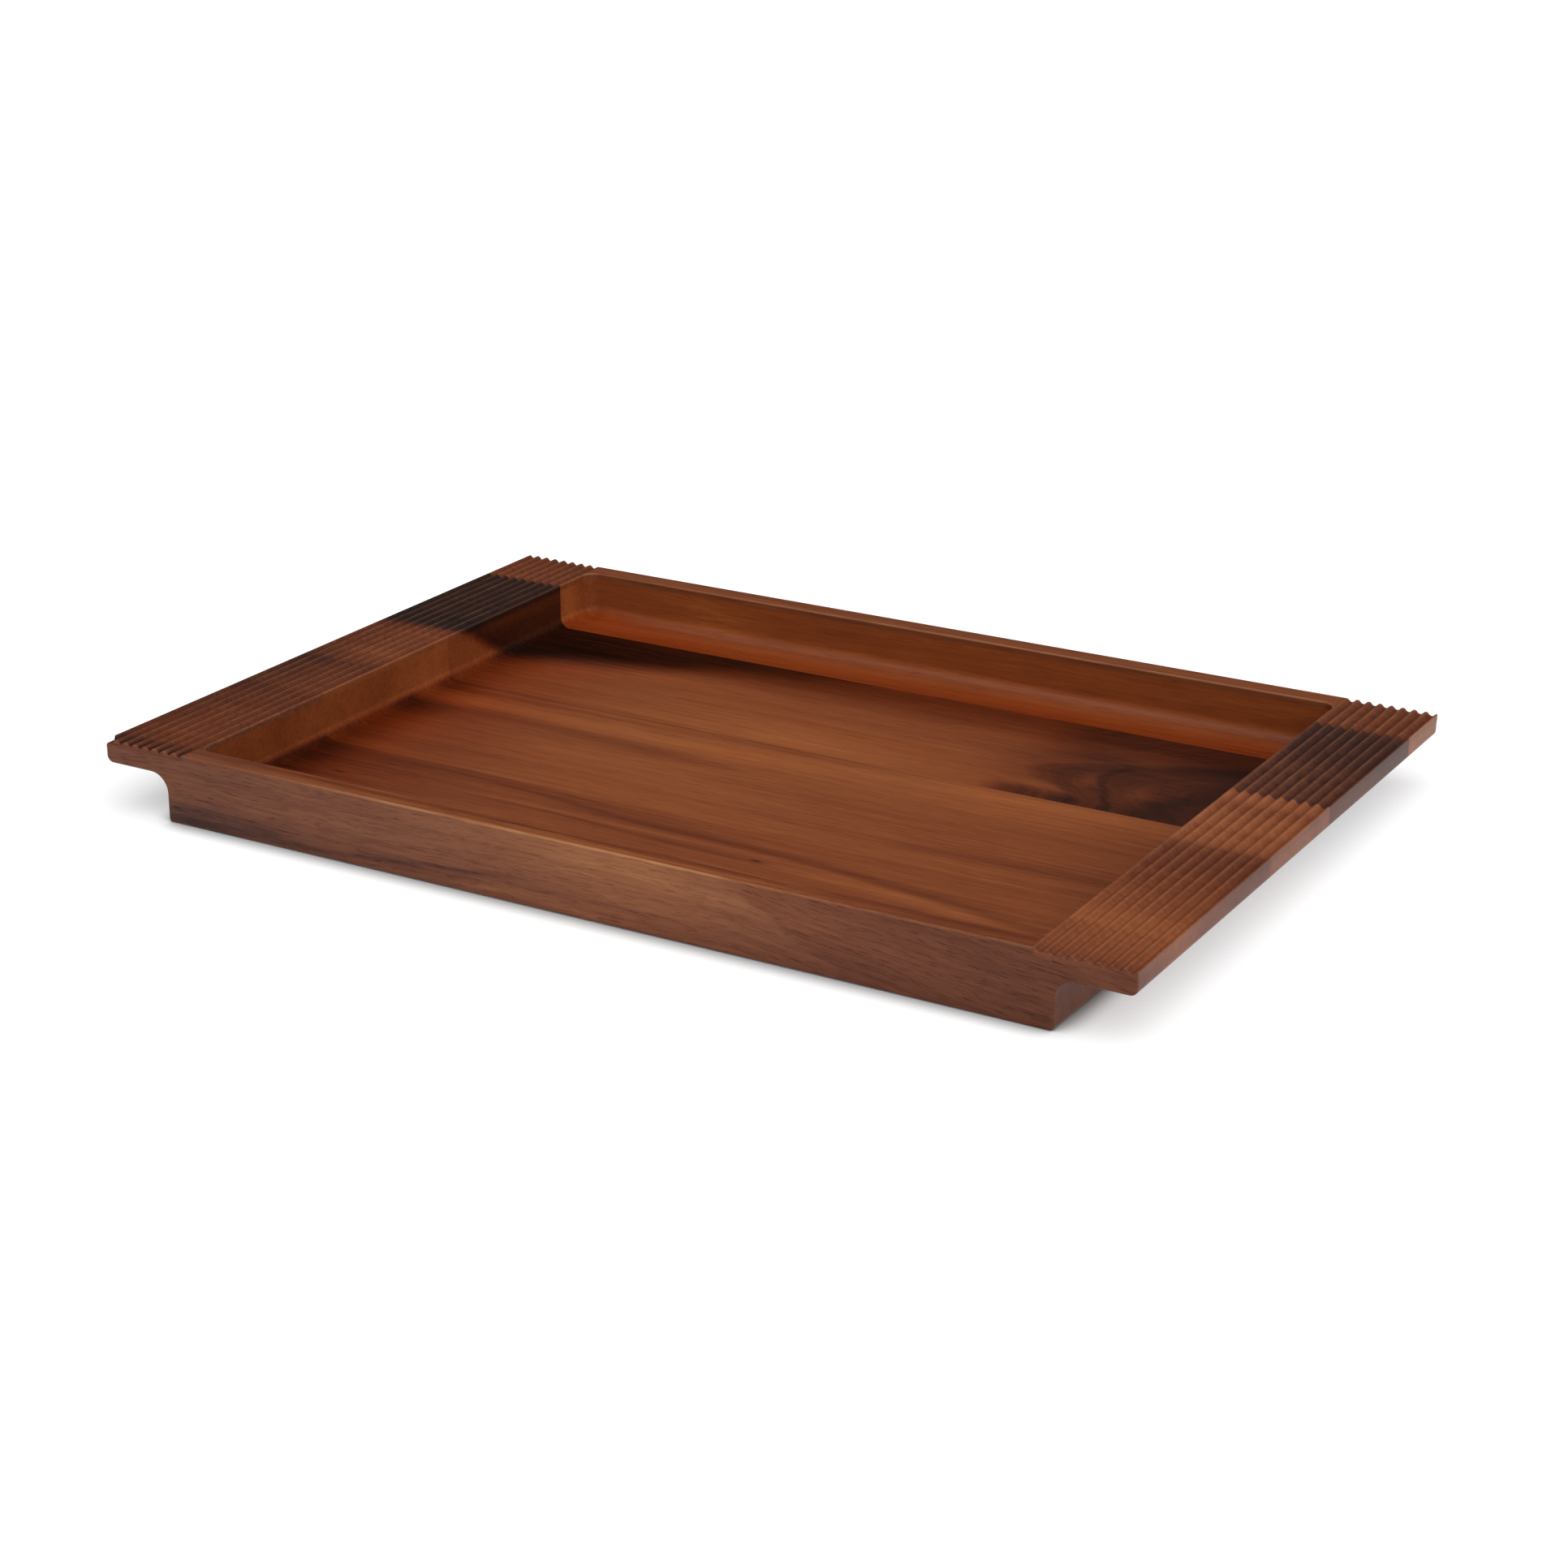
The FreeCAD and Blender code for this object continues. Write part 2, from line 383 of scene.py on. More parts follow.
def rail_stave(name, face_y, cut_y, sanded):
    """A stave with a front or back face: rim, wall of the well and a strip of its floor."""
    inwards = 1.0 if cut_y > face_y else -1.0
    corner_rows = (EASE_TOP,) + CORNER_ROWS_Y
    far_rows = spans(corner_rows[-1], abs(cut_y - face_y), ROW_STEP)[1:]
    half = len(corner_rows) - 1
    corner_x = [LAND_X + (WELL_X - WELL_CORNER - LAND_X) * i / half for i in range(half + 1)]
    middle_x = spans(corner_x[-1], -corner_x[-1], RIM_STEP)[1:-1]
    rim_x = [-x for x in corner_x[1:]] + middle_x[::-1] + corner_x[1:][::-1]
    chain = outer_chain()
    sanded_chain = outer_chain(sanded)

    # Outside, from the face to the cut
    mesh = Mesh()
    loop = sanded_chain + [(x, HEIGHT, EASE_TOP) for x in rim_x]
    row = rounded_face(mesh, loop, len(chain) - 1, face_y, inwards)[:len(chain)]
    for depth in corner_rows[1:] + tuple(far_rows):
        section = sanded_chain if depth < LIP_LENGTH else chain
        following = [(x, face_y + inwards * depth, z) for x, z, _ in section]
        mesh.strip(row, following, False)
        row = following

    # Rim, then down the edge, the wall and the foot of the well, then its floor
    outside, wall = walk_round_well(corner_rows, corner_x, middle_x, far_rows)
    rim = [(x, face_y + inwards * depth, HEIGHT) for x, depth in outside]
    row = rim
    for off, z, arris in well_profile():
        following = [(x + away[0] * off, face_y + inwards * (depth + away[1] * off), z)
                     for (x, depth), away in wall]
        mesh.strip(row, following, False, 0.0 if row is rim else arris)
        row = following
    mesh.face(row)
    mesh.face([(x, cut_y, z) for x, z in cross_section()])
    return mesh.build(name)


class Value:
    """A number in a node tree. Arithmetic on it adds math nodes."""

    def __init__(self, tree, socket):
        self.tree = tree
        self.socket = socket

    def math(self, operation, *others, clamp=False):
        node = self.tree.nodes.new("ShaderNodeMath")
        node.operation = operation
        node.use_clamp = clamp
        for slot, item in zip(node.inputs, (self,) + others):
            if isinstance(item, Value):
                self.tree.links.new(item.socket, slot)
            else:
                slot.default_value = item
        return Value(self.tree, node.outputs[0])

    def constant(self, number):
        node = self.tree.nodes.new("ShaderNodeValue")
        node.outputs[0].default_value = number
        return Value(self.tree, node.outputs[0])

    def __add__(self, other):
        return self.math("ADD", other)

    def __radd__(self, other):
        return self.math("ADD", other)

    def __sub__(self, other):
        return self.math("SUBTRACT", other)

    def __rsub__(self, other):
        return self.constant(other).math("SUBTRACT", self)

    def __mul__(self, other):
        return self.math("MULTIPLY", other)

    def __rmul__(self, other):
        return self.math("MULTIPLY", other)

    def __truediv__(self, other):
        return self.math("DIVIDE", other)

    def limited(self):
        """Held between 0 and 1."""
        return self.math("ADD", 0.0, clamp=True)

    def size(self):
        return self.math("ABSOLUTE")

    def larger(self, other):
        return self.math("MAXIMUM", other)

    def ramp(self, start, end, low=0.0, high=1.0):
        """Smooth change from low at start to high at end; start may be the larger one."""
        node = self.tree.nodes.new("ShaderNodeMapRange")
        node.interpolation_type = "SMOOTHSTEP"
        if start > end:
            start, end, low, high = end, start, high, low
        for slot, number in zip(node.inputs[1:5], (start, end, low, high)):
            slot.default_value = number
        self.tree.links.new(self.socket, node.inputs[0])
        return Value(self.tree, node.outputs[0])

    def falling_away(self):
        """1 where the value is 0, and towards 0 as it grows."""
        return (self * -1.0).math("EXPONENT")

    def bell(self, width):
        """1 where the value is 0, falling away softly over the width on both sides."""
        scaled = self / width
        return (scaled * scaled).falling_away()

    def follow(self, points):
        """A smooth curve through a few (place, height) points, in millimetres."""
        node = self.tree.nodes.new("ShaderNodeFloatCurve")
        curve = node.mapping.curves[0]
        first, last = points[0], points[-1]
        curve.points[0].location = (first[0] / LENGTH, first[1] / LENGTH)
        curve.points[1].location = (last[0] / LENGTH, last[1] / LENGTH)
        for place, height in points[1:-1]:
            curve.points.new(place / LENGTH, height / LENGTH)
        node.mapping.extend = "HORIZONTAL"
        node.mapping.update()
        self.tree.links.new((self / LENGTH).socket, node.inputs["Value"])
        return Value(self.tree, node.outputs[0]) * LENGTH


# Oiled acacia from nearly black heartwood to pale sapwood (linear colour at each tone)
WOOD_TONES = (
    (0.00, (0.0060, 0.0022, 0.0013)),
    (0.20, (0.0260, 0.0058, 0.0024)),
    (0.40, (0.0680, 0.0145, 0.0042)),
    (0.60, (0.1200, 0.0300, 0.0090)),
    (0.80, (0.1800, 0.0525, 0.0158)),
    (1.00, (0.2650, 0.0930, 0.0260)),
)
GREYED_TINT = (1.0, 1.38, 2.20, 1.0)
# Pale tint over arrises and rib crests: partly handling wear, partly a painted highlight
PALE_WEAR_AND_GLINT = (0.34, 0.19, 0.090, 1.0)
RED_TINT = (1.0, 0.65, 0.40, 1.0)

# Relief of the surface, in millimetres
FIBRE_RELIEF = 0.010
LINE_RELIEF = 0.012
PORE_DEPTH = 0.035

# Where the parts of the tray begin and are fully reached, for their looks. These are millimetres from the
# front left corner of the footprint, except that the edge of the well is measured from the middle of the tray
LEFT_END_X = (END_MARGIN, END_MARGIN - 1.0)
RIGHT_END_X = (LENGTH - END_MARGIN, LENGTH - END_MARGIN + 1.0)
RIGHT_END_FACE_X = (LENGTH - 1.0, LENGTH)
FRONT_FACE_Y = (2.2, 0.2)
BACK_FACE_Y = (WIDTH - 2.2, WIDTH - 0.2)
WELL_EDGE_X = (WELL_X + 2.5, WELL_X + 1.0)
WELL_EDGE_Y = (WELL_Y + 2.5, WELL_Y + 1.0)
WALL_FOOT_Z = (FLOOR_Z + 4.0, FLOOR_Z + 1.0)
LEFT_WALL_X = (60, 46)
# Along the left wall the floor of the well is painted darker, as shade from the wall
LEFT_OF_FLOOR_X = (74, 46)
TOP_Z = (HEIGHT - 4.0, HEIGHT - 1.6)
GROOVE_Z = (HEIGHT - 0.6, HEIGHT - GROOVE_DEPTH)
CREST_Z = (HEIGHT - 0.28, HEIGHT - 0.02)
# The underside is plain: the figure of the floor and the tones of the handles begin above it
FLOOR_FIGURE_Z = (3.0, 6.0)
END_TONES_Z = (0.5, 2.5)

# The grain of a leaning stave starts to dip here
LEAN_X = 300.0

# Each stave, and each noise in it, is cut from another part of the endless noise
SEED_SHIFT = 17.3
SALT_SHIFT = 5.7


class Timber:
    """The timber of one stave: where a point on it is, and how its grain runs there.

    x, y, z: millimetres from the front left corner of the footprint
    px, py: x and y with a little waviness, the places of the figure
    straight, grown: coordinates for noise that ignores the grain, and for noise that follows it
    top, floor, wall, left_end, right_end, ribs: 1 on that part of the tray, 0 elsewhere
    band, fine, cloud: broad, narrow and cloudy changes of tone along the grain
    worn, rub: where an arris is painted pale, partly as handling wear and partly as a painted highlight, and
    how far that pales it
    red, calm: how red the wood is, with painted shade along the left wall of the well, and how far its fine
    grain is hidden"""

    def __init__(self, name, seed, lean=0.0):
        self.material = bpy.data.materials.new(name)
        self.material.use_nodes = True
        self.tree = self.material.node_tree
        self.seed = seed
        split = self.tree.nodes.new("ShaderNodeSeparateXYZ")
        place = self.tree.nodes.new("ShaderNodeTexCoord")
        self.tree.links.new(place.outputs["Object"], split.inputs[0])
        x, y, z = (Value(self.tree, out) for out in split.outputs)
        self.x = x / MM + HALF_LENGTH
        self.y = y / MM + HALF_WIDTH
        self.z = z / MM
        self.straight = (self.x, self.y, self.z)
        self.grown = self.wandering(lean)
        self.px = self.x + self.noise(40, 14, 2.0, at=self.straight, salt=3) * 7.0
        self.py = self.y + self.noise(80, 30, 2.0, at=self.straight, salt=4) * 2.6
        self.mark_surfaces()
        self.band = self.noise(380, 11, 2.0, 0.5, salt=6)
        self.fine = self.noise(240, 3.2, 3.0, 0.6, salt=7)
        self.cloud = self.noise(70, 26, 2.0, 0.5, at=self.straight, salt=8)
        arris_wear_and_glint = self.attribute("arris") * (0.7 + self.noise(25, 25, 2.0, at=self.straight, salt=9) * 0.8)
        # The painted arris highlight fades towards the left end, away from the light
        self.arris_wear_and_glint = arris_wear_and_glint * self.x.ramp(60, 140, 0.25, 1.0)
        self.edge_pale_and_highlight = 0.16
        # The floor grows redder towards the left wall as painted shade; the cloudy part of the redness is the
        # wood's own
        self.red = self.floor * (self.x.ramp(130, 50) * 0.75 + (self.cloud * 0.45).limited())
        self.red = self.red + self.wall * self.x.ramp(*LEFT_WALL_X) * 0.40
        self.calm = 0.0

    def wandering(self, lean):
        """Grain that wanders a little, and dips towards the right-hand end of the front face if it leans."""
        slow = self.noise(150, 34, 1.0, at=self.straight, salt=1)
        quick = self.noise(34, 8, 1.0, at=self.straight, salt=2)
        rise = self.z
        if lean:
            rise = rise + (self.x - LEAN_X).larger(0.0) * lean * self.y.ramp(8.0, 2.0)
        return self.x, self.y + slow * 4.0 + quick * 1.1, rise + slow * 3.0 - quick * 1.0

    def mark_surfaces(self):
        """Values that are 1 on one part of the tray and 0 elsewhere."""
        from_middle_x = (self.x - HALF_LENGTH).size()
        from_middle_y = (self.y - HALF_WIDTH).size()
        well = from_middle_y.ramp(*WELL_EDGE_Y) * from_middle_x.ramp(*WELL_EDGE_X)
        self.top = self.z.ramp(*TOP_Z)
        self.floor = self.z.ramp(*WALL_FOOT_Z) * self.z.ramp(*FLOOR_FIGURE_Z) * well
        self.wall = (1.0 - self.top - self.z.ramp(*WALL_FOOT_Z)) * well
        self.left_end = self.x.ramp(*LEFT_END_X) * self.z.ramp(*END_TONES_Z)
        self.right_end = self.x.ramp(*RIGHT_END_X) * self.z.ramp(*END_TONES_Z)
        self.ribs = from_middle_x.ramp(LAND_X - 0.5, LAND_X + 0.5)

    def attribute(self, name):
        """A value stored on the mesh."""
        node = self.tree.nodes.new("ShaderNodeAttribute")
        node.attribute_name = name
        return Value(self.tree, node.outputs["Fac"])

    def noise(self, along, across, detail=2.0, rough=0.5, at=None, salt=0, deep=None):
        """Noise about 0, with cells this long along the stave, this wide across it and this deep."""
        x, y, z = at or self.grown
        join = self.tree.nodes.new("ShaderNodeCombineXYZ")
        shift = self.seed * SEED_SHIFT + salt * SALT_SHIFT
        for slot, item in zip(join.inputs, (x / along + shift, y / across, z / (deep or across))):
            self.tree.links.new(item.socket, slot)
        node = self.tree.nodes.new("ShaderNodeTexNoise")
        node.inputs["Scale"].default_value = 1.0
        node.inputs["Detail"].default_value = detail
        node.inputs["Roughness"].default_value = rough
        self.tree.links.new(join.outputs[0], node.inputs["Vector"])
        return (Value(self.tree, node.outputs["Fac"]) - 0.5) * 2.0

    def streak(self, points, width, start=None, end=None, fade=14.0):
        """A streak along the stave through (x, y) points, fading out at its start and end."""
        mark = (self.py - self.x.follow(points)).bell(width)
        if start is not None:
            mark = mark * self.x.ramp(start - fade, start + fade)
        if end is not None:
            mark = mark * self.x.ramp(end + fade, end - fade)
        return mark

    def spot(self, x, y, length, width):
        """A soft oval patch."""
        across = (self.py - y) / width
        along = (self.px - x) / length
        return (across * across + along * along).falling_away()

    def base_tone(self, level, band=0.08, fine=0.08):
        """The tone of the plain wood: 0 is nearly black, 1 the palest."""
        return level + self.band * band + self.fine * fine + self.cloud * 0.05

    def tone_colour(self, tone):
        """The colour socket that belongs to a tone."""
        ramp = self.tree.nodes.new("ShaderNodeValToRGB")
        elements = ramp.color_ramp.elements
        while len(elements) < len(WOOD_TONES):
            elements.new(0.5)
        for element, (place, colour) in zip(elements, WOOD_TONES):
            element.position = place
            element.color = (*colour, 1.0)
        self.tree.links.new(tone.socket, ramp.inputs[0])
        return ramp.outputs[0]

    def blend(self, amount, below, above, mode="MIX"):
        """Mixes a colour over a colour socket; returns the output socket."""
        node = self.tree.nodes.new("ShaderNodeMix")
        node.data_type = "RGBA"
        node.blend_type = mode
        self.tree.links.new(amount.socket, node.inputs["Factor"])
        self.tree.links.new(below, node.inputs[6])
        node.inputs[7].default_value = above
        return node.outputs[2]

    def relief(self, height):
        """Shading of a surface that stands this many metres proud."""
        bump = self.tree.nodes.new("ShaderNodeBump")
        bump.inputs["Distance"].default_value = 1.0
        self.tree.links.new(height.socket, bump.inputs["Height"])
        return bump.outputs[0]

    def finish(self, tone, grey, pores, dull=0.0):
        """Colour, roughness and relief from the tone of the wood, how greyed it is, how open its pores are
        and how much of its sheen it has lost."""
        fibre = self.noise(26, 1.0, 3.0, 0.65, salt=11)
        line = self.noise(170, 1.6, 3.0, 0.62, salt=12)
        fleck = self.noise(13, 1.5, 2.0, 0.6, salt=14)
        pore = self.noise(9, 0.45, 2.0, 0.6, salt=13).ramp(0.08, 0.36) * pores
        mottle = self.noise(34, 4.0, 2.0, 0.5, salt=16) * self.ribs
        grain = (fibre * 0.12 + line * 0.11 + fleck * 0.05 - pore * 0.16) * (1.0 - self.calm)
        # Ribs: the grooves are darkened, partly as oil and dirt and partly as painted shade; the crests are
        # paled here and there, partly as handling wear and partly as a painted highlight
        groove = self.ribs * self.top * self.z.ramp(*GROOVE_Z)
        groove = groove * (0.05 + self.y.ramp(85, 120) * 0.06 - self.y.ramp(110, 15) * self.right_end * 0.11)
        crest_wear_and_glint = self.noise(2.4, 26, 2.0, 0.6, at=self.straight, salt=15, deep=90)
        crest = self.ribs * self.z.ramp(*CREST_Z) * (0.55 + crest_wear_and_glint * 1.0).limited()
        tone = tone + grain + mottle * 0.08
        tone = tone - groove + crest * 0.05 + self.arris_wear_and_glint * 0.06
        # The left end and the walls of the well are duller than the rest; along the left wall the floor's
        # sheen is cut as painted shade, where the wall hides the reflection
        corner = self.floor * self.x.ramp(90, 46) * 0.95 + self.wall * 0.45 + self.left_end * self.top * 0.45
        dull = corner.larger(dull)

        colour = self.blend(grey.limited(), self.tone_colour(tone), GREYED_TINT, "MULTIPLY")
        colour = self.blend(self.red.limited(), colour, RED_TINT, "MULTIPLY")
        # Arrises and crests take the pale tint: partly wear, partly painted highlight
        colour = self.blend(self.arris_wear_and_glint * self.edge_pale_and_highlight + crest * 0.13, colour, PALE_WEAR_AND_GLINT)
        rough = 0.42 + fibre * 0.05 + pore * 0.15 - self.arris_wear_and_glint * 0.06 + line * 0.05 - crest * 0.06
        sheen = (0.20 - self.arris_wear_and_glint * 0.06 + line * 0.04 - pore * 0.05 + crest * 0.05) * (1.0 - dull)
        height = (fibre * FIBRE_RELIEF - pore * PORE_DEPTH + line * LINE_RELIEF) * MM
        shader = self.tree.nodes["Principled BSDF"]
        self.tree.links.new(colour, shader.inputs["Base Color"])
        self.tree.links.new(rough.socket, shader.inputs["Roughness"])
        self.tree.links.new(sheen.socket, shader.inputs["Specular IOR Level"])
        self.tree.links.new(self.relief(height), shader.inputs["Normal"])
        return self.material


# Paths of the figure on the front rail: across the floor as (x, y), up the front face as (x, z)
BENT_STREAK = ((0, 85), (43, 85), (110, 85), (150, 83), (178, 79.5), (203, 75.5), (244, 73.5), (291, 72),
               (332, 68), (362, 64), (393, 57), (457, 48))
UPPER_LINE = ((0, 88), (150, 88), (200, 83), (250, 79), (457, 70))
SOFT_SHADE = ((0, 82), (178, 80), (263, 74), (338, 68), (457, 50))
PALE_BELOW = ((0, 70), (213, 69), (308, 66.5), (363, 58), (457, 48))
PALE_CROWN = ((0, 62), (300, 62), (345, 58), (400, 52), (457, 46))
THIN_LINE = ((0, 66), (170, 66), (203, 64.5), (244, 62.5), (457, 58))
FACE_GLOW = ((0, 2), (170, 3.2), (205, 4.6), (240, 3), (457, 2))
FACE_VEIN = ((0, 4), (120, 5), (180, 9), (240, 14), (457, 20))
FACE_WAVE = ((0, 2), (100, 3), (160, 6), (300, 5), (457, 4))


def front_rail_floor(t):
    """Dark and pale streaks that bend towards the front at the right; the left end is darker, and along the
    left wall the darkening is painted shade.
    """
    bent = t.streak(BENT_STREAK, width=2.9, start=115, end=385, fade=30)
    upper_line = t.streak(UPPER_LINE, width=1.6, start=110, end=215, fade=30)
    soft = t.streak(SOFT_SHADE, width=7.0, start=60, end=270, fade=40)
    below = t.streak(PALE_BELOW, width=2.0, start=140, end=375, fade=30)
    crown = t.streak(PALE_CROWN, width=3.5, start=285, end=380, fade=25)
    thin = t.streak(THIN_LINE, width=1.3, start=130, end=270, fade=30)
    floor = bent * -0.12 - upper_line * 0.07 - soft * 0.06 + below * 0.09 + crown * 0.10 - thin * 0.13
    return floor - t.x.ramp(150, 60) * 0.18 - t.x.ramp(*LEFT_OF_FLOOR_X) * 0.23


def front_rail_handles(t):
    """Both handles are darker than the rail; at the front left the grooves are nearly black, partly dark
    stain and partly painted shade in the groove ends.
    """
    pale = (t.py - 38).bell(17.0)
    dark = (t.py - 84).bell(10.0)
    # Painted shade over dark stain in the ends of the grooves at the front left
    teeth = t.ribs * t.z.ramp(29.6, 28.8) * t.y.ramp(16, 3)
    left = t.left_end * (dark * -0.06 - 0.22 - t.x.ramp(26, 2) * 0.07 - teeth * 0.32)
    right = t.right_end * (pale * 0.12 - dark * 0.07 - 0.06 - t.y.ramp(14, 2) * 0.09)
    return left + right


def front_rail_rim(t, left_part):
    """Pale along the outer arris, partly as a painted highlight, darker at both ends, with a thin dark line
    along the middle.
    """
    outer = t.y.ramp(6.5, 3.0) * t.x.ramp(80, 130) * t.x.ramp(345, 290)
    rim = outer * 0.10 - left_part * 0.10 - t.x.ramp(330, 400) * 0.08 + t.noise(110, 1.3, 2.0, salt=31) * 0.26
    return rim - (t.y - 6.5).bell(1.2) * t.x.ramp(40, 90) * 0.14


def front_rail_wood():
    t = Timber("front_rail_wood", 1.0, lean=0.12)
    # The front arris is paled most in the middle of the rail: a painted highlight over the wear
    t.edge_pale_and_highlight = t.y.ramp(0.9, 0.35) * t.x.ramp(60, 110) * t.x.ramp(340, 280) * 0.26 + 0.10
    face = t.y.ramp(*FRONT_FACE_Y)
    inside = 1.0 - face
    tone = t.base_tone(0.64)
    tone = tone + t.floor * front_rail_floor(t)
    tone = tone - t.floor * (t.spot(272, 63.5, 2.2, 0.8) * 0.4 + t.spot(72, 61, 3.0, 0.9) * 0.25)
    tone = tone + t.wall * (t.x.ramp(60, 44) * 0.02 - (t.py - 62).bell(9.0) * 0.06)
    rim = 1.0 - t.left_end - t.right_end
    rim_left = t.x.ramp(95, 55)
    tone = tone + inside * front_rail_handles(t) + t.top * inside * rim * front_rail_rim(t, rim_left)

    # Front face: pale in the middle, dull at the lower left, and browner to the right of a slanting seam
    slanting = t.px + t.z * 1.9
    boundary = slanting.ramp(344, 356)
    seam = (slanting - 350).bell(4.0) * 0.04
    middle = (t.x - 255).bell(70.0)
    patch = t.x.ramp(125, 60) * t.z.ramp(14, 4) * (0.8 + t.noise(30, 3.0, 2.0, salt=32) * 1.2).limited()
    glow = (t.z - t.x.follow(FACE_GLOW)).bell(1.3)
    glow = glow * t.x.ramp(165, 190) * t.x.ramp(245, 222) * 0.16
    upper = t.z.ramp(18, 26) * (t.x - 225).bell(70.0) * 0.11 - t.z.ramp(8, 2) * (t.x - 262).bell(34.0) * 0.10
    vein = (t.z - t.x.follow(FACE_VEIN)).bell(1.2) * t.x.ramp(110, 150) * t.x.ramp(215, 180)
    wave = (t.z - t.x.follow(FACE_WAVE)).bell(1.0) * t.x.ramp(85, 105)
    on_face = middle * 0.16 - t.z.ramp(19, 1) * 0.08 - patch * 0.23 - boundary * 0.05
    on_face = on_face - t.x.ramp(140, 40) * 0.03 + glow + upper - seam
    on_face = on_face - vein * 0.20 - wave * t.x.ramp(230, 160) * 0.10 - 0.02 - t.x.ramp(385, 430) * 0.05
    tone = tone + face * on_face + face * (t.noise(45, 1.6, 3.0, 0.65, salt=33) * 0.13 + t.cloud * 0.04)
    pores = inside * 0.45 + face * (0.95 + boundary * 0.15)
    grey = face * (0.56 - middle * 0.25 + patch * 0.5 - boundary * 0.2)
    grey = grey + t.top * inside * rim_left * rim * 0.6
    return t.finish(tone, grey, pores)


# Paths of the figure on the floor of the front centre stave, as (x, y)
PALE_UPPER = ((0, 161), (120, 163), (210, 166), (300, 171), (457, 174))
PALE_MIDDLE = ((0, 156), (457, 156))
WAVY_STREAK = ((0, 148), (45, 149), (113, 152), (150, 150), (213, 147), (457, 146))
LOW_STREAK = ((0, 111), (457, 110))
LATE_STREAK = ((0, 141), (457, 141))
PALE_WISP = ((0, 128), (138, 130), (213, 138), (457, 140))
FRONT_OF_GLUE_LINE = ((0, 179), (457, 179))


def front_centre_floor(t):
    """A broad pale band at the back with darker streaks in front of it, and darker ends; along the left wall
    the darkening is painted shade.
    """
    upper = t.streak(PALE_UPPER, width=7.0)
    mid = t.streak(PALE_MIDDLE, width=7.0, start=170, end=350, fade=30)
    wavy = t.streak(WAVY_STREAK, width=4.2, end=190, fade=40)
    low = t.streak(LOW_STREAK, width=6.0, start=318, fade=25)
    late = t.streak(LATE_STREAK, width=4.0, start=325, fade=30)
    wisp = t.streak(PALE_WISP, width=5.0, start=120, end=240, fade=30)
    edge = t.streak(FRONT_OF_GLUE_LINE, width=0.9, end=235, fade=40)
    floor = upper * 0.14 + mid * 0.06 - wavy * 0.11 - low * 0.12 - late * 0.06 + wisp * 0.06 - edge * 0.12
    floor = floor - t.x.ramp(150, 70) * 0.10 - t.x.ramp(*LEFT_OF_FLOOR_X) * 0.22 - t.x.ramp(350, 400) * 0.07
    floor = floor - (t.py - 140).bell(7.0) * t.x.ramp(95, 50) * 0.13
    return floor + (t.x - 200).bell(80.0) * t.py.ramp(140, 120) * 0.04


def front_centre_handles(t):
    """Tones of the left and the right handle; the right one is darker in front of a slanting line."""
    left = (t.py - 128).bell(7.0) * -0.12 - 0.17 - t.x.ramp(28, 2) * 0.12 - t.py.ramp(140, 110) * 0.07
    slant = (t.py - 120).ramp(-5, 3)
    shine = (t.py - 146).bell(11.0) * 0.05 + (t.py - 174).bell(5.0) * 0.04 - (t.py - 164).bell(3.0) * 0.05
    return t.left_end * left, t.right_end * (slant * 0.18 - 0.18 + shine)


def front_centre_wood():
    t = Timber("front_centre_wood", 2.0)
    tone = t.base_tone(0.68)
    tone = tone + t.floor * front_centre_floor(t)
    patches = (t.py - 168).bell(20.0) * 0.12 - (t.py - 128).bell(12.0) * 0.06
    tone = tone + t.wall * t.x.ramp(*LEFT_WALL_X) * patches
    left, right = front_centre_handles(t)
    tone = tone + left + right
    grey = (t.left_end + t.right_end) * 0.15
    return t.finish(tone, grey, 0.45, t.floor * t.y.ramp(110, 180) * 0.15)


# Paths of the figure on the rear centre stave: the front edge of the heartwood as (x, y), the arms of the
# swirl, which run across the stave, as (y, x)
BACK_OF_GLUE_LINE = ((0, 181), (457, 181))
HEART_EDGE = ((0, 223), (25, 226), (43, 227), (63, 234), (113, 247), (138, 257), (168, 264), (230, 269),
              (457, 271))
SWIRL_EDGE = ((0, 346), (178, 345), (188, 341), (198, 331), (208, 323), (216, 323), (223, 329), (230, 339),
              (238, 360), (248, 384), (258, 402), (270, 420), (457, 420))
SECOND_ARM = ((0, 366), (178, 362), (196, 355), (215, 347), (232, 349), (457, 360))
THIRD_ARM = ((0, 374), (178, 377), (197, 383), (225, 398), (457, 430))

# How much further forward the heartwood lies for each millimetre up the left wall
HEART_SLOPE = 1.72


def heartwood(t):
    """Black heartwood at the back left: how deep inside it a point is, and how much it shows there. It
    narrows to a thin edge along the glue line."""
    climb = (t.z - FLOOR_Z) * HEART_SLOPE * t.x.ramp(*LEFT_WALL_X)
    feather = t.noise(60, 1.8, 3.0, 0.6, salt=24) * 3.0
    depth = t.py + climb - t.x.follow(HEART_EDGE) + feather
    soft = depth.ramp(-20.0, 8.0) * t.floor + depth.ramp(-9.0, 5.0) * (1.0 - t.floor)
    return depth, soft * (1.0 - t.x.ramp(105, 260) * 0.78) * t.x.ramp(400, 330)


def heartwood_tone(t, depth):
    """Nearly black, but less so on the wall and towards the right of the floor."""
    rind = depth.bell(7.0) * t.x.ramp(150, 60)
    tone = 0.07 * t.top + t.wall * (0.19 + t.z.ramp(18, 26) * 0.08) + depth.ramp(4, 30) * 0.04 - rind * 0.05
    return tone + t.floor * (0.03 + t.x.ramp(60, 110) * 0.06)


